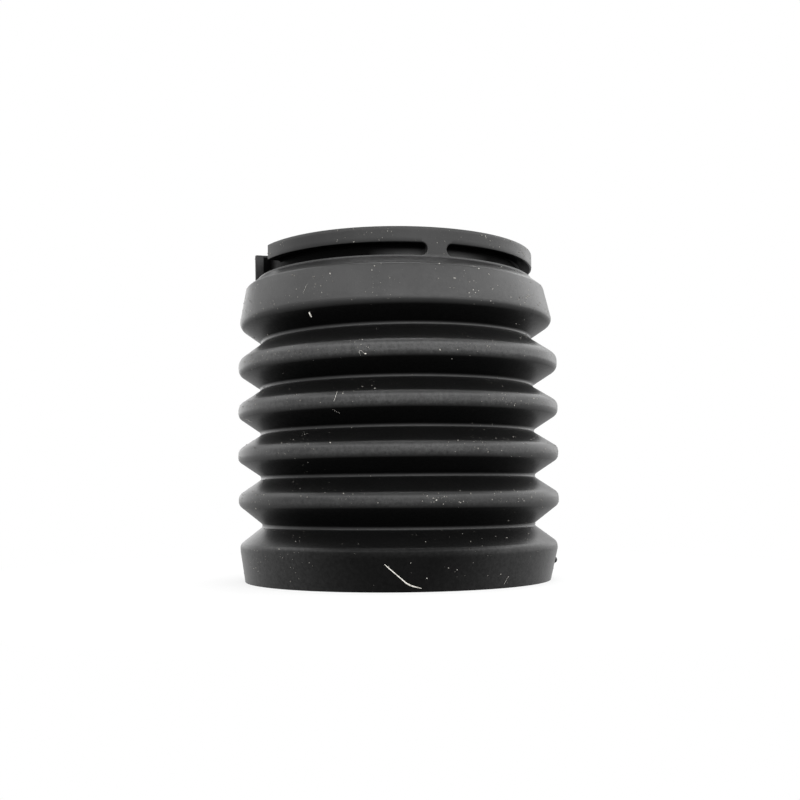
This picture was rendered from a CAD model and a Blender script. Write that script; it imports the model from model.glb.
from math import asin, cos, degrees, hypot, radians, sin, tan
from random import Random

import bmesh
import bpy
import numpy as np
from mathutils import Matrix, Vector, noise
from mathutils.bvhtree import BVHTree


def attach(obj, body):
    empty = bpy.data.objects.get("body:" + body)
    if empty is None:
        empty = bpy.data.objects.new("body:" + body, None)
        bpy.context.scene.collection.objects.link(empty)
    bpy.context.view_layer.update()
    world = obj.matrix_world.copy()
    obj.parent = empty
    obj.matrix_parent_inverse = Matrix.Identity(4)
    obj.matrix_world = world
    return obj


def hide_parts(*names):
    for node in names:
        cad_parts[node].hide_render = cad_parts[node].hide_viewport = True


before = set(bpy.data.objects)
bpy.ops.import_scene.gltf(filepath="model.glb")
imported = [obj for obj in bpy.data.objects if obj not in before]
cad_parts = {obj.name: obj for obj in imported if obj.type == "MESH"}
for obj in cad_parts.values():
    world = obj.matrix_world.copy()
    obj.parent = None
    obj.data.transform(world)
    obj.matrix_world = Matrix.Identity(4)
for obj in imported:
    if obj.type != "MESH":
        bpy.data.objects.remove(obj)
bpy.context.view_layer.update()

# ---------------------------------------------------------------------------
# Bellows boot. One black EPDM rubber moulding, pressed between an outer mould and
# a collapsible core, so its folds, cuff, slotted collar and lug are one skin. The
# free folds relax a little after moulding: each ring sits slightly off the axis.
# ---------------------------------------------------------------------------

# Outer corners in mm: radius, height, rounding, sideways shift, tilt in degrees
outer_corners = [
    (47.90, 0.00, 0.5, -0.35, -0.18),   # foot
    (49.70, 9.75, 4.0, 0.09, 0.21),     # cuff crest
    (49.60, 11.66, 2.0, -0.05, 0.13),
    (42.25, 17.22, 0.9, 0.01, -0.14),
    (50.10, 23.55, 2.4, 0.09, -0.17),   # lowest fold
    (50.10, 26.85, 2.6, 0.09, 0.02),
    (42.30, 32.12, 0.9, -0.09, 0.08),
    (50.10, 37.40, 2.4, 0.01, 0.06),
    (50.07, 40.85, 2.6, 0.10, 0.11),
    (42.20, 45.88, 0.9, -0.23, 0.25),
    (49.97, 51.08, 2.4, 0.03, 0.24),
    (49.96, 54.65, 2.6, 0.12, 0.24),
    (42.05, 59.71, 0.9, -0.33, 0.40),
    (49.82, 64.80, 2.4, 0.10, 0.55),   # highest full fold
    (49.78, 68.53, 2.6, 0.08, 0.58),
    (41.55, 74.31, 0.9, -0.45, 0.70),
    (48.95, 79.40, 2.2, -0.42, 0.44),   # top fold
    (46.60, 90.00, 0.8, -0.65, -0.24),  # crease under the shoulder
    (43.05, 92.60, 0.0, -0.72, -0.16),  # foot of the neck
]
valley_rounding = 0.9        # only the valleys have it
crest_rounding = 2.4         # only the lower corner of each full fold's crest has it
wall = 1.8
valley_wall = 3.37           # measured level, across the V of a valley
half_land = 2.0              # half the height of a fold's flat crest
cuff_bore = 45.0
cuff_bore_top = 12.9
collar_bore = 36.0
collar_base = 90.8
chamber_corner = 44.4        # radius where the collar's underside meets the shoulder's inside
top_fold_inside = (46.8, 80.7)
neck_radius, neck_foot = outer_corners[-1][:2]
shoulder_slope = (outer_corners[-2][0] - neck_radius) / (neck_foot - outer_corners[-2][1])
slot_base = 93.1
band_base = 96.6
rim = 101.0
slot_floor = 38.9
slot_rows = 10               # points of a column from a slot's lower lip to its upper one
below_slots = 0.4            # the plain outside stops this far under the slots
lip = 0.28                   # rounding along the slots' lips and the band's edges
eased = 0.29 * lip           # how far the middle of that rounding lies from each face
bore_lip = 0.5
floor_round = 0.45           # where a slot's walls meet its floor
lug_radius = 43.60
keyway_at = -70.5
keyway_half = 7.3
bridges_at = (-103.6, 16.4, 136.4)
bridge_half = 2.85


def rounded(corners, turns=5):
    """Points along a chain of corners (radius, height, rounding), with an arc at each rounding."""
    points = []
    for place, (r, z, rounding) in enumerate(corners):
        if rounding == 0 or place in (0, len(corners) - 1):
            points.append((r, z))
            continue
        here = Vector((r, z))
        back = (Vector(corners[place - 1][:2]) - here).normalized()
        on = (Vector(corners[place + 1][:2]) - here).normalized()
        half = back.angle(on) / 2
        centre = here + (back + on).normalized() * rounding / sin(half)
        start = here + back * rounding / tan(half) - centre
        sweep = start.angle_signed(here + on * rounding / tan(half) - centre)
        for step in range(turns + 1):
            turn = -sweep * step / turns
            arm = Vector((
                start.x * cos(turn) - start.y * sin(turn),
                start.x * sin(turn) + start.y * cos(turn),
            ))
            points.append(tuple(centre + arm))
    return points


def divided(points, longest):
    """The same chain with its long runs cut into equal steps."""
    chain = [points[0]]
    for a, b in zip(points, points[1:]):
        steps = max(1, round(hypot(b[0] - a[0], b[1] - a[1]) / longest))
        chain += [
            (a[0] + (b[0] - a[0]) * k / steps, a[1] + (b[1] - a[1]) * k / steps)
            for k in range(1, steps + 1)
        ]
    return chain


def lining():
    """The inside, from under the collar down to the foot."""
    corners = [
        (collar_bore, rim, 0), (collar_bore, collar_base, 0.5),
        (chamber_corner, collar_base, 1.0), (*top_fold_inside, 1.5),
    ]
    valleys = [c for c in outer_corners if c[2] == valley_rounding]
    crests = [c for c in outer_corners if c[2] == crest_rounding]
    for number, valley in enumerate(reversed(valleys)):
        corners.append((valley[0] - valley_wall, valley[1], 1.5))
        if number < len(crests):
            crest = crests[-1 - number]
            corners.append((crest[0] - wall, crest[1] + half_land, 2.0))
    corners += [(cuff_bore, cuff_bore_top, 0.8), (cuff_bore, 0.0, 0.5), (outer_corners[0][0], 0.0, 0)]
    return corners


def columns():
    """The skin's columns: azimuth, what each crosses at the neck, and where it lies on that feature.

    On a slot's rounded end that is the side, the azimuth of the centre and the angle round the end.
    """
    spacing = 1.5
    end_room, keyway_room, lug_room = 0.5, 0.9, 0.6     # degrees kept free of plain columns
    round_end_room = 1.02                               # the same at a rounded end, as a share of it
    steps_round_end = 9
    end_radius = (band_base - slot_base) / 2
    end_turn = degrees(end_radius / neck_radius)
    bridge_turn = degrees(bridge_half / neck_radius)
    keyway_turn = degrees(asin(keyway_half / neck_radius))
    lug_end = bridges_at[0] - bridge_turn
    # The lug runs on from the first bridge, so no slot ends between the two
    ends = [
        (at + side * bridge_turn, side)
        for at in bridges_at for side in (-1, 1) if (at, side) != (bridges_at[0], 1)
    ]
    made = []
    for a in np.arange(-180, 180, spacing):
        crowded = any(
            0 <= (a - end) * side <= end_turn * round_end_room or abs(a - end) < end_room for end, side in ends
        )
        if crowded or abs(abs(a - keyway_at) - keyway_turn) < keyway_room or abs(a - lug_end) < lug_room:
            continue
        if abs(a - keyway_at) < keyway_turn:
            kind = "keyway"
        elif lug_end < a < keyway_at:
            kind = "lug"
        elif any(abs(a - at) < bridge_turn for at in bridges_at):
            kind = "bridge"
        else:
            kind = "slot"
        made.append((a, kind, None))
    for end, side in ends:
        centre = end + side * end_turn
        for angle in np.linspace(0, 90, steps_round_end):
            turn = side * degrees(end_radius * cos(radians(angle)) / neck_radius)
            made.append((centre - turn, "end", (side, centre, radians(angle))))
        made.append((end, "tip", (side, centre, 0.0)))
    for side in (-1, 1):
        edge = keyway_at + side * keyway_turn
        made.append((edge, "keyway_edge", side))
        made.append((edge, "band_end" if side > 0 else "lug_side", (side,)))
        made.append((edge + side * degrees(lip / neck_radius), "slot" if side > 0 else "lug", None))
    made.append((lug_end, "lug_back", None))
    return made


def shoulder(z):
    """Radius of the skin at a height near the neck's foot."""
    return max(neck_radius, neck_radius + (neck_foot - z) * shoulder_slope)


def beside_keyway(points, share):
    """Points (radius, height) set on the keyway: share runs from -1 at its left wall to 1 at its right."""
    return [(keyway_at + share * degrees(asin(keyway_half / max(r, slot_floor))), r, z) for r, z in points]


def neck_path(a, kind, detail):
    """One column of the neck as (azimuth, radius, height), from the shoulder to the rim's inner edge."""
    middle = (slot_base + band_base) / 2
    half = (band_base - slot_base) / 2
    foot = (shoulder(slot_base - lip), slot_base - lip)
    rim_middle = 40.6
    keyway_rim = (38.2, 37.6)
    top = [
        (neck_radius, 97.9), (neck_radius, 98.9), (neck_radius, 99.9),
        (neck_radius, rim - lip), (neck_radius - eased, rim - eased), (neck_radius - lip, rim),
        (rim_middle, rim), (slot_floor, rim),
    ]
    inner = [
        (collar_bore + bore_lip, rim), (collar_bore + 0.3 * bore_lip, rim - 0.3 * bore_lip),
        (collar_bore, rim - bore_lip),
    ]

    if kind in ("end", "tip"):
        side, centre, angle = detail

        def at(width, r, up):
            shift = -side * degrees(width * cos(angle) / r)
            return centre + shift, r, middle + up * width * sin(angle)

        low = middle - (half + lip) * sin(angle)
        low_r = shoulder(low) if low < slot_base else neck_radius
        under = at(half + lip, low_r, -1)
        over = at(half + lip, neck_radius, 1)
        foot_point = (a, *foot) if low >= slot_base else under
        corner = (a, neck_radius, slot_base) if low > slot_base else under
        if kind == "tip":
            middle_points = [under] * slot_rows
        else:
            middle_points = [
                under,
                at(half + eased, neck_radius - eased, -1),
                at(half, neck_radius - lip, -1),
                at(half, slot_floor + floor_round, -1),
                at(half - floor_round, slot_floor, -1),
                at(half - floor_round, slot_floor, 1),
                at(half, slot_floor + floor_round, 1),
                at(half, neck_radius - lip, 1),
                at(half + eased, neck_radius - eased, 1),
                over,
            ]
        above = (a, neck_radius, max(over[2], band_base + lip))
        if angle > radians(86):
            foot_point, corner, above = (a, *foot), (a, *foot), over
            middle_points[0] = foot_point
        return [foot_point, corner, *middle_points, above] + [(a, *p) for p in top + inner]

    if kind == "bridge":
        points = [foot, (neck_radius, slot_base)] + [(neck_radius, middle)] * slot_rows
        points += [(neck_radius, band_base + lip)] + top + inner
        return [(a, *p) for p in points]

    if kind in ("lug", "lug_side", "lug_back"):
        out = lug_radius - (lip if kind == "lug_side" else 0)
        base = neck_foot - (lug_radius - neck_radius) / shoulder_slope
        rows = [(shoulder(base - lip), base - lip), (shoulder(base), base)]
        rows += [(out, z) for z in np.linspace(slot_base, band_base, slot_rows)]
        rows += [(out, band_base + lip)]
        lug_top = [(out, z) for _, z in top[:4]]
        lug_top += [(out - eased, rim - eased), (out - lip, rim), (rim_middle, rim), (slot_floor, rim)]
        points = rows + lug_top + inner
    elif kind == "keyway" or kind == "keyway_edge":
        rows = [
            foot, foot, foot,
            (neck_radius - 0.1 * lip, slot_base - eased),
            (neck_radius - lip, slot_base),
            (slot_floor + floor_round, slot_base),
            (slot_floor, slot_base + floor_round),
            (slot_floor, band_base - floor_round),
        ]
        rows += [(slot_floor, band_base)] * 5
        points = rows + [(slot_floor, z) for _, z in top[:4]]
        points += [(slot_floor - eased, rim - eased), (slot_floor - lip, rim)]
        points += [(r, rim) for r in keyway_rim] + inner
        if kind == "keyway_edge":
            return beside_keyway(points, detail)
        return beside_keyway(points, (a - keyway_at) / degrees(asin(keyway_half / neck_radius)))
    else:
        out = neck_radius - (lip if kind == "band_end" else 0)
        rows = [
            foot, foot, foot,
            (neck_radius - 0.1 * lip, slot_base - eased),
            (neck_radius - lip, slot_base),
            (slot_floor + floor_round, slot_base),
            (slot_floor, slot_base + floor_round),
            (slot_floor, band_base - floor_round),
            (slot_floor + floor_round, band_base),
            (out - lip, band_base),
            (out - eased, band_base + eased),
            (out, band_base + lip), (out, band_base + lip),
        ]
        band_top = [(min(r, out), z) for r, z in top]
        points = rows + band_top + inner
    if kind in ("lug_side", "band_end"):
        return beside_keyway(points, detail[0])
    return [(a, *p) for p in points]


def settled(a, r, z):
    """A point of the true moulding moved to where the relaxed rubber holds it, in metres."""
    wander_mm, around_per_mm, upward_per_mm = 0.05, 0.05, 0.12
    level_foot = 4           # mm over which the foot stays flat on what it stands on
    heights = [c[1] for c in outer_corners]
    shift = float(np.interp(z, heights, [c[3] for c in outer_corners]))
    tilt = float(np.interp(z, heights, [c[4] for c in outer_corners]))
    x = r * sin(radians(a))
    y = -r * cos(radians(a))
    wander = wander_mm * noise.noise(Vector((x * around_per_mm, y * around_per_mm, z * upward_per_mm)))
    lift = z + x * tan(radians(tilt)) * min(1.0, z / level_foot)
    return Vector((x * (1 + wander / r) + shift, y * (1 + wander / r), lift)) / 1000


def beside(column):
    """Sort key: columns that share an azimuth stand in the order in which the skin runs through them."""
    a, kind, detail = column
    turn = {"end": 1, "tip": 0, "keyway_edge": 0, "band_end": 1, "lug_side": 1, "lug_back": 0.5}.get(kind, 0)
    side = detail[0] if kind in ("end", "band_end", "lug_side") else 1
    return round(a, 6), turn * side


outside = divided(rounded([c[:3] for c in outer_corners]), longest=2.6)
inside = divided(rounded(lining(), turns=4), longest=3.4)
inside = inside[next(i for i, p in enumerate(inside) if p[1] < rim - 1):]
skin = bmesh.new()
grid = []
for a, kind, detail in sorted(columns(), key=beside):
    neck = neck_path(a, kind, detail)
    path = [(a, r, z) for r, z in outside if z < slot_base - below_slots] + neck + [(a, r, z) for r, z in inside]
    grid.append((kind, [skin.verts.new(settled(*point)) for point in path]))
for (here_kind, here), (there_kind, there) in zip(grid, grid[1:] + grid[:1]):
    slot_start = len(here) - len(inside) - len(neck) + 2
    slot_tip = {here_kind, there_kind} == {"end", "tip"}
    for k in range(len(here)):
        n = (k + 1) % len(here)
        if slot_tip and slot_start <= k < slot_start + slot_rows - 1:
            continue
        skin.faces.new((here[k], there[k], there[n], here[n]))
bmesh.ops.remove_doubles(skin, verts=skin.verts, dist=2e-6)
skin_tree = BVHTree.FromBMesh(skin)

# The nub that the mould's gate leaves low on the cuff
nub_at, nub_height, nub_radius, nub_proud = 82.5, 5.95, 1.1, 0.65
foot_radius, (cuff_radius, cuff_height) = outer_corners[0][0], outer_corners[1][:2]
cuff_reach = foot_radius + (cuff_radius - foot_radius) * nub_height / cuff_height
bmesh.ops.create_icosphere(
    skin, subdivisions=3, radius=nub_radius / 1000,
    matrix=Matrix.Translation(settled(nub_at, cuff_reach + nub_proud - nub_radius, nub_height)),
)

mesh = bpy.data.meshes.new("bellows_boot_skin")
skin.to_mesh(mesh)
skin.free()
boot = bpy.data.objects.new("bellows_boot_skin", mesh)
bpy.context.scene.collection.objects.link(boot)
for face in mesh.polygons:
    face.use_smooth = True
mesh.set_sharp_from_angle(angle=radians(38))
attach(boot, "root")
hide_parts("bellows_boot")


def linear(hex_colour):
    """sRGB hex to the linear colour that nodes take."""
    parts = [int(hex_colour[i:i + 2], 16) / 255 for i in (1, 3, 5)]
    return tuple(p / 12.92 if p <= 0.04045 else ((p + 0.055) / 1.055) ** 2.4 for p in parts) + (1.0,)


def add(tree, kind, at=(0, 0), **values):
    """Adds a node. A value goes to the input or property of that name, and a socket is linked."""
    node = tree.nodes.new("ShaderNode" + kind)
    node.location = at
    for name, value in values.items():
        numbered = name.startswith("in") and name[2:].isdigit()
        socket = node.inputs[int(name[2:])] if numbered else node.inputs.get(name.replace("_", " "))
        if socket is None:
            setattr(node, name, value)
        elif isinstance(value, bpy.types.NodeSocket):
            tree.links.new(value, socket)
        else:
            socket.default_value = value
    return node


# EPDM rubber from a blasted mould: deep black and satin, greyed by a thin film of bloom and dust,
# most on the upright crests. The cuff's front is rubbed cleaner, and undersides and slots are matt.
# The grain that the mould leaves is 0.1 mm; it is drawn at 0.35 mm to show.
bloom_mm = 14.0
mottle_mm = 1.0
grain_mm, grain_depth_mm = 0.35, 0.06
sag_mm, sag_depth_mm = 7.0, 0.03
moulded_epdm = bpy.data.materials.new("moulded_epdm_rubber")
moulded_epdm.use_nodes = True
tree = moulded_epdm.node_tree
tree.nodes.clear()
coords = add(tree, "TexCoord", (-2400, 0))
place = coords.outputs["Object"]
parts = add(tree, "SeparateXYZ", (-2200, 300), Vector=place)
height = parts.outputs["Z"]
flat = add(tree, "VectorMath", (-2200, 500), operation="MULTIPLY", in0=place, in1=(1, 1, 0))
reach = add(tree, "VectorMath", (-2000, 500), operation="LENGTH", in0=flat.outputs["Vector"]).outputs["Value"]
facing = add(tree, "SeparateXYZ", (-2200, 100), Vector=coords.outputs["Normal"]).outputs["Z"]
bloom = add(tree, "TexNoise", (-2200, -150), Vector=place, Scale=1000 / bloom_mm, Detail=5.0, Roughness=0.65)
mottle = add(tree, "TexNoise", (-2200, -400), Vector=place, Scale=1000 / mottle_mm, Detail=4.0, Roughness=0.7)

# Inside the slots and the keyway the rubber is sheltered and dull
slot_middle, slot_half_depth = 0.0397, 0.0021
neck_middle, neck_half_height = 0.09665, 0.0040
in_depth = add(tree, "Math", (-1800, 700), operation="COMPARE", in0=reach, in1=slot_middle, in2=slot_half_depth)
in_neck = add(tree, "Math", (-1800, 900), operation="COMPARE", in0=height, in1=neck_middle, in2=neck_half_height)
sheltered = add(tree, "Math", (-1600, 800), operation="MULTIPLY", in0=in_depth.outputs[0], in1=in_neck.outputs[0])
dulled = add(tree, "MapRange", (-1400, 800), Value=sheltered.outputs[0], in3=1.0, in4=0.05)

# The shoulder's slope holds dust at the front and is duller than the creases above and below it
slope_middle, slope_half = 0.0915, 0.0010
front_half, sides_from = 0.008, 0.030
on_slope = add(tree, "Math", (-1800, 1100), operation="COMPARE", in0=height, in1=slope_middle, in2=slope_half)
off_middle = add(tree, "Math", (-1800, 1300), operation="ABSOLUTE", in0=parts.outputs["X"])
dusty = add(
    tree, "MapRange", (-1600, 1300), Value=off_middle.outputs[0], in1=front_half, in2=sides_from, in3=0.85, in4=0.0
)
slope_film = add(tree, "Math", (-1400, 1300), operation="MULTIPLY", in0=on_slope.outputs[0], in1=dusty.outputs[0])
at_sides = add(
    tree, "MapRange", (-1600, 1100), Value=off_middle.outputs[0], in1=front_half, in2=sides_from, in3=0.95, in4=0.62
)
duller = add(tree, "MapRange", (-1400, 1100), Value=on_slope.outputs[0], in3=1.0, in4=at_sides.outputs["Result"])

# The film: thickest where a face is upright, and full only on the crests and the shoulder
upright = add(tree, "MapRange", (-1600, 300), Value=facing, in1=0.20, in2=0.75, in3=1.0, in4=0.30)
on_crest = add(tree, "MapRange", (-1600, 500), Value=reach, in1=0.0490, in2=0.0495, in3=0.3, in4=1.0)
on_shoulder = add(tree, "MapRange", (-1600, 700), Value=height, in1=0.0896, in2=0.0902)
lying = add(tree, "Math", (-1200, 300), operation="MAXIMUM", in0=upright.outputs[0], in1=slope_film.outputs[0])
crest = add(tree, "Math", (-1200, 500), operation="MAXIMUM", in0=on_crest.outputs[0], in1=on_shoulder.outputs[0])
film = add(tree, "Math", (-1000, 400), operation="MULTIPLY", in0=lying.outputs[0], in1=crest.outputs[0])
film = add(tree, "Math", (-800, 400), operation="MULTIPLY", in0=film.outputs[0], in1=dulled.outputs[0])
# What it changes with, from, to, factor before, factor after
film_factors = [
    (facing, -0.78, -0.05, 0.0, 1.0),                 # none on the undersides
    (height, 0.0115, 0.0130, 0.0, 1.0),               # none on the cuff
    (height, 0.020, 0.080, 0.42, 0.75),               # thinner towards the foot
    (height, 0.0925, 0.0935, 1.0, 0.30),              # thin on the collar
    (bloom.outputs["Fac"], 0.35, 0.65, 0.75, 1.25),   # broad patches
    (mottle.outputs["Fac"], 0.3, 0.7, 0.0, 2.0),      # single grains
]
for number, (read, low, high, before, after) in enumerate(film_factors):
    factor = add(
        tree, "MapRange", (-1000 + 180 * number, 150), Value=read, in1=low, in2=high, in3=before, in4=after
    )
    film = add(
        tree, "Math", (-600 + 180 * number, 400), operation="MULTIPLY", in0=film.outputs[0], in1=factor.outputs[0]
    )
tint = add(
    tree, "Mix", (600, 300), data_type="RGBA", in0=film.outputs[0], in6=linear("#050505"), in7=linear("#3c3c3c")
)

# Dust that has settled in the slots beside each bridge, on the lower part of the floor
middle_bridge = radians(bridges_at[1])
forward = add(tree, "Math", (-1800, 1600), operation="MULTIPLY", in0=parts.outputs["Y"], in1=-1.0)
azimuth = add(tree, "Math", (-1600, 1600), operation="ARCTAN2", in0=parts.outputs["X"], in1=forward.outputs[0])
past = add(tree, "Math", (-1400, 1600), operation="SUBTRACT", in0=azimuth.outputs[0], in1=middle_bridge)
thirds = add(tree, "Math", (-1200, 1600), operation="MULTIPLY", in0=past.outputs[0], in1=float(len(bridges_at)))
swing = add(tree, "Math", (-1000, 1600), operation="COSINE", in0=thirds.outputs[0])
beside_bridge = add(tree, "MapRange", (-800, 1600), Value=swing.outputs[0], in1=0.10, in2=0.85)
low_down = add(tree, "MapRange", (-800, 1300), Value=height, in1=0.0940, in2=0.0958, in3=1.0, in4=0.0)
drift = add(tree, "Math", (-600, 1600), operation="MULTIPLY", in0=beside_bridge.outputs[0], in1=sheltered.outputs[0])
slot_dust = add(tree, "Math", (-400, 1500), operation="MULTIPLY", in0=drift.outputs[0], in1=low_down.outputs[0])
tint = add(
    tree, "Mix", (800, 300), data_type="RGBA", in0=slot_dust.outputs[0], in6=tint.outputs[2], in7=linear("#565656")
)

# The gloss: hands have rubbed the cuff's front, and the film's grains break it up
wiped = add(tree, "MapRange", (-1400, -400), Value=mottle.outputs["Fac"], in1=0.3, in2=0.7, in3=0.49, in4=0.27)
rubbed = add(tree, "MapRange", (-1600, -200), Value=parts.outputs["Y"], in1=-0.0482, in2=-0.0400, in3=0.28, in4=1.0)
cuff_face = add(tree, "MapRange", (-1400, -200), Value=height, in1=0.0110, in2=0.0135, in3=rubbed.outputs[0], in4=1.0)
gleam = add(tree, "Math", (-1200, -300), operation="MULTIPLY", in0=wiped.outputs[0], in1=cuff_face.outputs[0])
gleam = add(tree, "Math", (-1000, -300), operation="MULTIPLY", in0=gleam.outputs[0], in1=dulled.outputs[0])
gleam = add(tree, "Math", (-800, -300), operation="MULTIPLY", in0=gleam.outputs[0], in1=duller.outputs[0])
gleam_factors = [
    (facing, -0.75, -0.10, 0.16, 1.0),      # matt undersides
    (height, 0.020, 0.085, 0.80, 1.0),      # duller towards the foot
    (height, 0.0925, 0.0940, 1.0, 0.86),    # and on the collar
]
for number, (read, low, high, before, after) in enumerate(gleam_factors):
    factor = add(
        tree, "MapRange", (-800 + 180 * number, -550), Value=read, in1=low, in2=high, in3=before, in4=after
    )
    gleam = add(
        tree, "Math", (-600 + 180 * number, -300), operation="MULTIPLY", in0=gleam.outputs[0], in1=factor.outputs[0]
    )
sag = add(tree, "TexNoise", (-400, -800), Vector=place, Scale=1000 / sag_mm, Detail=1.0)
soft = add(tree, "Bump", (0, -650), Height=sag.outputs["Fac"], Strength=1.0, Distance=sag_depth_mm / 1000)
grain = add(tree, "TexNoise", (-400, -1050), Vector=place, Scale=1000 / grain_mm, Detail=2.0)
fine = add(
    tree, "Bump", (250, -700), Height=grain.outputs["Fac"], Strength=0.3, Distance=grain_depth_mm / 1000,
    Normal=soft.outputs["Normal"],
)
rubber = add(
    tree, "BsdfPrincipled", (1000, 0), Base_Color=tint.outputs[2], Roughness=0.35, IOR=1.5,
    Specular_IOR_Level=gleam.outputs[0], Normal=fine.outputs["Normal"],
)
add(tree, "OutputMaterial", (1300, 0), Surface=rubber.outputs["BSDF"])
mesh.materials.append(moulded_epdm)

# ---------------------------------------------------------------------------
# Lint. Loose cotton fibres that static holds on the rubber: one long curved fibre
# low on the cuff, a short bright end under the top fold, and a few fine hairs.
# ---------------------------------------------------------------------------

# Each fibre: thickness in mm, then azimuth in degrees, height in mm and share of the thickness along it
fibres = [
    (0.36, [
        (-4.5, 7.80, 0.45), (-3.0, 6.65, 0.65), (-1.4, 5.50, 0.75), (1.5, 3.40, 0.85), (2.7, 2.52, 1.1),
        (4.2, 1.89, 1.25), (5.8, 1.46, 0.9), (7.7, 1.08, 0.4),
    ]),
    (0.50, [(-30.65, 78.0, 0.7), (-30.8, 77.54, 1.1), (-30.95, 77.05, 0.7)]),
    (0.065, [
        (-11.7, 64.65, 0.5), (-12.1, 65.30, 1.0), (-11.9, 65.95, 0.9), (-11.4, 65.88, 0.7), (-10.9, 65.48, 0.6),
        (-10.5, 65.19, 0.6),
    ]),
    (0.42, [(-10.3, 65.12, 0.6), (-10.05, 65.06, 1.0), (-9.8, 65.05, 0.6)]),
    (0.07, [(-19.6, 55.03, 0.9), (-19.7, 54.4, 1.0), (-19.8, 53.77, 1.1), (-20.1, 53.0, 1.0), (-20.4, 52.29, 0.8)]),
    (0.035, [(-21.4, 50.23, 0.8), (-20.6, 49.70, 1.0), (-19.5, 49.24, 0.8)]),
    (0.05, [(-32.0, 83.21, 0.8), (-31.3, 84.35, 1.0), (-30.8, 85.49, 0.7)]),
    (0.05, [(38.3, 1.13, 0.8), (38.9, 2.34, 1.0), (39.9, 3.34, 0.8)]),
    (0.05, [(28.4, 90.27, 0.8), (29.6, 90.05, 1.0), (30.8, 89.54, 0.8)]),
    (0.07, [(-73.3, 50.81, 0.8), (-71.4, 49.83, 1.0), (-69.2, 49.04, 0.8)]),
]


def on_skin(azimuth, height):
    """Where the boot's outside is at an azimuth and a height, and which way it faces."""
    start, end = settled(azimuth, 60, height), settled(azimuth, 20, height)
    hit, normal, _, _ = skin_tree.ray_cast(start, end - start)
    return hit, normal


sunk = 0.45                  # a fibre's middle lies a little under its own radius above the skin
lint = bmesh.new()
for thickness, points in fibres:
    strand = bpy.data.curves.new("strand", "CURVE")
    strand.dimensions = "3D"
    strand.bevel_depth = thickness / 2000
    strand.bevel_resolution = 2
    strand.resolution_u = 5
    strand.use_fill_caps = True
    line = strand.splines.new("NURBS")
    line.points.add(len(points) - 1)
    for knot, (azimuth, height, share) in zip(line.points, points):
        hit, normal = on_skin(azimuth, height)
        knot.co = (*(hit + normal * share * thickness * sunk / 1000), 1)
        knot.radius = share
    line.order_u = 3
    line.use_endpoint_u = True
    holder = bpy.data.objects.new("strand", strand)
    tube = bpy.data.meshes.new_from_object(holder)
    lint.from_mesh(tube)
    bpy.data.objects.remove(holder)
    bpy.data.meshes.remove(tube)
    bpy.data.curves.remove(strand)
lint_mesh = bpy.data.meshes.new("lint_fibres")
lint.to_mesh(lint_mesh)
lint.free()
for face in lint_mesh.polygons:
    face.use_smooth = True
fibre_piece = bpy.data.objects.new("lint_fibres", lint_mesh)
bpy.context.scene.collection.objects.link(fibre_piece)
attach(fibre_piece, "root")

# Spun cotton: matt off-white, a little brighter and duller along its length.
twist_mm = 0.8
cotton = bpy.data.materials.new("spun_cotton_lint")
cotton.use_nodes = True
tree = cotton.node_tree
tree.nodes.clear()
place = add(tree, "TexCoord", (-900, 0)).outputs["Object"]
twist = add(tree, "TexNoise", (-700, 0), Vector=place, Scale=1000 / twist_mm, Detail=2.0)
strands = add(tree, "MapRange", (-600, 0), Value=twist.outputs["Fac"], in1=0.35, in2=0.65)
tone = add(
    tree, "Mix", (-400, 0), data_type="RGBA", in0=strands.outputs[0], in6=linear("#bdbab2"), in7=linear("#eeebe4")
).outputs[2]
fibre_shader = add(tree, "BsdfPrincipled", (-200, 0), Base_Color=tone, Roughness=0.85, Specular_IOR_Level=0.3)
add(tree, "OutputMaterial", (100, 0), Surface=fibre_shader.outputs["BSDF"])
lint_mesh.materials.append(cotton)

# ---------------------------------------------------------------------------
# Dust. Flecks of lint and workshop dust, 0.1 to 1 mm across, which settle mostly
# on the flat crests and the collar's band and hardly at all under the folds.
# ---------------------------------------------------------------------------

# The larger flecks: azimuth in degrees, then height, length and width in mm, and lean in degrees
flecks = [
    (-22.0, 87.7, 0.85, 0.42, -53), (34.4, 88.3, 0.70, 0.35, -44), (15.6, 90.1, 0.55, 0.40, 24),
    (11.8, 25.1, 0.80, 0.45, 42), (10.8, 25.6, 0.40, 0.30, 10), (8.9, 26.2, 0.50, 0.30, 15),
    (9.2, 3.8, 0.50, 0.42, -33), (-22.1, 41.1, 0.75, 0.35, -35), (41.5, 14.1, 0.50, 0.38, -46),
    (3.7, 8.1, 0.50, 0.25, 44), (20.4, 86.1, 1.05, 0.32, 3), (34.9, 83.9, 0.80, 0.25, 30),
    (53.5, 75.9, 0.55, 0.25, 14), (45.2, 24.6, 0.45, 0.30, 58), (-7.3, 55.6, 0.65, 0.25, 12),
    (-7.4, 88.0, 0.45, 0.35, -70), (44.3, 42.7, 0.50, 0.32, -62), (-57.3, 4.6, 0.45, 0.32, -32),
    (19.1, 5.9, 0.45, 0.32, -21), (30.4, 89.6, 0.50, 0.35, 0), (44.5, 91.9, 0.60, 0.40, 20),
    (26.8, 83.0, 0.50, 0.35, 60), (25.1, 82.0, 0.55, 0.35, 20), (27.5, 82.2, 0.45, 0.30, -40),
    (37.5, 85.2, 0.40, 0.25, 30), (42.9, 82.2, 0.60, 0.35, 0), (54.9, 85.8, 0.60, 0.35, 10),
    (33.2, 80.2, 0.45, 0.30, 0),
]
placed = len(flecks)
fleck_count = 3600
in_slot, slope_start, crest_depth = 41, 46.5, 3.0    # radii and a depth in mm
collar_from, cuff_top = 93.3, 13
cluster_scale = 70
smallest, largest_extra = 0.14, 0.42                # mm
dice = Random(29)
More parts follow.
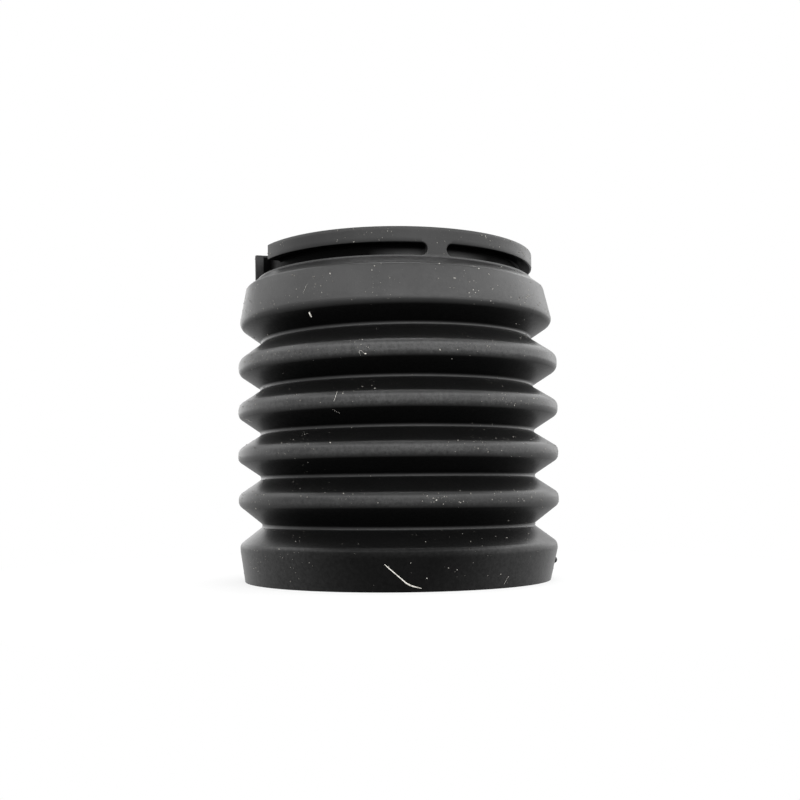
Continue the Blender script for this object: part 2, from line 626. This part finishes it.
while len(flecks) < fleck_count:
    azimuth, height = dice.uniform(-180, 180), dice.uniform(0.5, 100.6)
    hit, normal = on_skin(azimuth, height)
    if hit is None or hypot(hit.x, hit.y) * 1000 < in_slot or abs(normal.z) > 0.95:
        continue
    outward = (hypot(hit.x, hit.y) * 1000 - slope_start) / crest_depth
    caught = 1.0 if height > collar_from else 0.15 + 0.85 * min(1.0, max(0.0, outward)) ** 2
    if height < cuff_top:
        caught *= 0.11
    elif normal.z < -0.25:
        caught *= 0.12
    caught *= 0.3 + 0.7 * min(1.0, abs(azimuth) / 35)
    caught *= max(0.1, 1.0 + 4.0 * noise.noise(hit * cluster_scale))
    if dice.random() > caught:
        continue
    length = smallest + largest_extra * dice.random() ** 3
    flecks.append((azimuth, height, length, length * dice.uniform(0.45, 1.0), dice.uniform(-90, 90)))

dust = bmesh.new()
paleness = dust.verts.layers.float.new("pale")
placed_pale, palest_scattered = 0.58, 0.42
for number, (azimuth, height, length, width, lean) in enumerate(flecks):
    pale = placed_pale if number < placed else palest_scattered * dice.random() ** 1.5
    hit, normal = on_skin(azimuth, height)
    across = Vector((0, 0, 1)).cross(normal).normalized()
    up = normal.cross(across)
    long_way = across * cos(radians(lean)) + up * sin(radians(lean))
    short_way = normal.cross(long_way)
    turns = [radians(60 * k) + dice.uniform(-0.25, 0.25) for k in range(6)]
    reaches = [dice.uniform(0.75, 1.15) for _ in turns]

    def ring(scale, lift):
        return [
            dust.verts.new(
                hit + (long_way * cos(t) * length + short_way * sin(t) * width) * far * scale / 2000
                + normal * lift * width / 1000
            )
            for t, far in zip(turns, reaches)
        ]

    foot, brow = ring(1.0, -0.1), ring(0.65, 0.28)
    top = dust.verts.new(hit + normal * 0.4 * width / 1000)
    for vert in (*foot, *brow, top):
        vert[paleness] = pale
    for k in range(6):
        n = (k + 1) % 6
        dust.faces.new((foot[k], foot[n], brow[n], brow[k]))
        dust.faces.new((brow[k], brow[n], top))
dust_mesh = bpy.data.meshes.new("dust_flecks")
dust.to_mesh(dust_mesh)
dust.free()
dust_piece = bpy.data.objects.new("dust_flecks", dust_mesh)
bpy.context.scene.collection.objects.link(dust_piece)
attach(dust_piece, "root")

# Workshop dust and lint: matt, from dirty grey to off-white from one fleck to the next.
fleck_mm = 1.5
grit = bpy.data.materials.new("workshop_dust")
grit.use_nodes = True
tree = grit.node_tree
tree.nodes.clear()
place = add(tree, "TexCoord", (-1100, 0)).outputs["Object"]
lot = add(tree, "TexNoise", (-900, 0), Vector=place, Scale=1000 / fleck_mm, Detail=1.0)
soil = add(tree, "MapRange", (-700, 0), Value=lot.outputs["Fac"], in1=0.3, in2=0.7, in3=-0.15, in4=0.15)
clean = add(tree, "Attribute", (-900, -250), attribute_name="pale")
mixed_dirt = add(tree, "Math", (-500, 0), operation="ADD", in0=soil.outputs["Result"], in1=clean.outputs["Fac"])
tone = add(
    tree, "Mix", (-350, 0), data_type="RGBA", in0=mixed_dirt.outputs[0], in6=linear("#686661"), in7=linear("#c8c5be")
).outputs[2]
grit_shader = add(tree, "BsdfPrincipled", (-200, 0), Base_Color=tone, Roughness=0.9, Specular_IOR_Level=0.2)
add(tree, "OutputMaterial", (100, 0), Surface=grit_shader.outputs["BSDF"])
dust_mesh.materials.append(grit)

# ---------------------------------------------------------------------------
# Floor. A sheet of white paper under the boot, which runs off into the white
# backdrop and keeps the boot's soft shadow near its foot.
# ---------------------------------------------------------------------------
half_side = 6
sheet = bpy.data.meshes.new("paper_floor")
corners = [(x * half_side, y * half_side, 0) for x, y in ((-1, -1), (1, -1), (1, 1), (-1, 1))]
sheet.from_pydata(corners, [], [(0, 1, 2, 3)])
floor = bpy.data.objects.new("paper_floor", sheet)
bpy.context.scene.collection.objects.link(floor)


def seen_ray(tree, at):
    """1 for camera, glossy and transmission rays, which see the white backdrop, and 0 for the rest."""
    path = add(tree, "LightPath", (at[0] - 600, at[1]))
    direct = add(
        tree, "Math", (at[0] - 400, at[1]), operation="MAXIMUM",
        in0=path.outputs["Is Camera Ray"], in1=path.outputs["Is Glossy Ray"],
    )
    both = add(
        tree, "Math", (at[0] - 200, at[1]), operation="MAXIMUM",
        in0=direct.outputs[0], in1=path.outputs["Is Transmission Ray"],
    )
    return both.outputs[0]


# Matt white paper: flat and even, and pure white away from the boot.
paper = bpy.data.materials.new("matt_white_paper")
paper.use_nodes = True
tree = paper.node_tree
tree.nodes.clear()
seen = seen_ray(tree, (-200, 200))
place = add(tree, "TexCoord", (-1000, -100)).outputs["Object"]
away = add(tree, "VectorMath", (-800, -100), operation="LENGTH", in0=place)
glow = add(tree, "MapRange", (-600, -100), Value=away.outputs["Value"], in1=0.055, in2=0.16, in3=0.72, in4=1.0)
share = add(tree, "Math", (0, 100), operation="MULTIPLY", in0=seen, in1=glow.outputs["Result"])
matt = add(tree, "BsdfDiffuse", (0, 0), Color=linear("#f0f0f0"))
white = add(tree, "Emission", (0, -150), Color=(1, 1, 1, 1), Strength=1.0)
mixed = add(tree, "MixShader", (250, 0), in0=share.outputs[0], in1=matt.outputs[0], in2=white.outputs[0])
add(tree, "OutputMaterial", (450, 0), Surface=mixed.outputs["Shader"])
sheet.materials.append(paper)

# ---------------------------------------------------------------------------
# Studio. White surroundings, with softboxes of 0.62 by 0.43 m in front, at both
# sides, behind and overhead, all 1.2 m from the boot's middle.
# ---------------------------------------------------------------------------
world = bpy.data.worlds.new("white_studio")
bpy.context.scene.world = world
world.use_nodes = True
tree = world.node_tree
tree.nodes.clear()
seen = seen_ray(tree, (-200, 100))
level = add(tree, "Mix", (0, 100), data_type="FLOAT", in0=seen, in2=0.3, in3=1.0)
white = add(tree, "Background", (200, 0), Color=(1, 1, 1, 1), Strength=level.outputs[0])
add(tree, "OutputWorld", (400, 0), Surface=white.outputs["Background"])

box_width, box_height, box_distance = 0.62, 0.43, 1.2
boot_middle = Vector((0, 0, 0.05))
# Each softbox: azimuth and elevation in degrees, watts
softboxes = [
    (-105, 32, 1.1), (-75, 32, 1.2), (-45, 32, 2.0), (-15, 32, 2.2), (15, 32, 2.3), (45, 32, 2.3),
    (75, 32, 2.0), (105, 32, 1.7), (135, 32, 1.5), (165, 32, 0.7),
    (-165, 11, 0.9), (-138, 8, 0.7), (-105, 11, 0.4), (-45, 11, 0.3), (-15, 11, 0.9), (15, 11, 1.5), (45, 11, 1.1),
    (75, 11, 1.1), (105, 11, 1.2), (135, 11, 0.9),
    (-110, 50, 1.2), (105, 58, 0.6), (165, 58, 4.6), (0, 89, 4.7),
]
for azimuth, elevation, watts in softboxes:
    name = f"softbox_{azimuth}_{elevation}".replace("-", "left_")
    lamp = bpy.data.lights.new(name, "AREA")
    lamp.shape = "RECTANGLE"
    lamp.size, lamp.size_y, lamp.energy = box_width, box_height, watts
    box = bpy.data.objects.new(name, lamp)
    a, e = radians(azimuth), radians(elevation)
    towards = Vector((sin(a) * cos(e), -cos(a) * cos(e), sin(e)))
    box.location = boot_middle + box_distance * towards
    box.rotation_euler = (-towards).to_track_quat("-Z", "Y").to_euler()
    bpy.context.scene.collection.objects.link(box)

# The camera stands level, 27 mm above the floor, rolled half a degree.
frame_width = 800
sensor_mm = 36
focal_pixels = 1074.1
horizon_row = 493.34
camera_data = bpy.data.cameras.new("camera")
camera_data.sensor_width = sensor_mm
camera_data.lens = focal_pixels / frame_width * sensor_mm
camera_data.shift_y = (horizon_row - frame_width / 2) / frame_width
camera_data.clip_start = 0.01
camera = bpy.data.objects.new("camera", camera_data)
camera.location = (0.00048, -0.34, 0.02698)
camera.rotation_euler = (radians(90), radians(0.5), 0)
bpy.context.scene.collection.objects.link(camera)
bpy.context.scene.camera = camera
bpy.context.scene.view_settings.view_transform = "Standard"

bpy.context.view_layer.update()
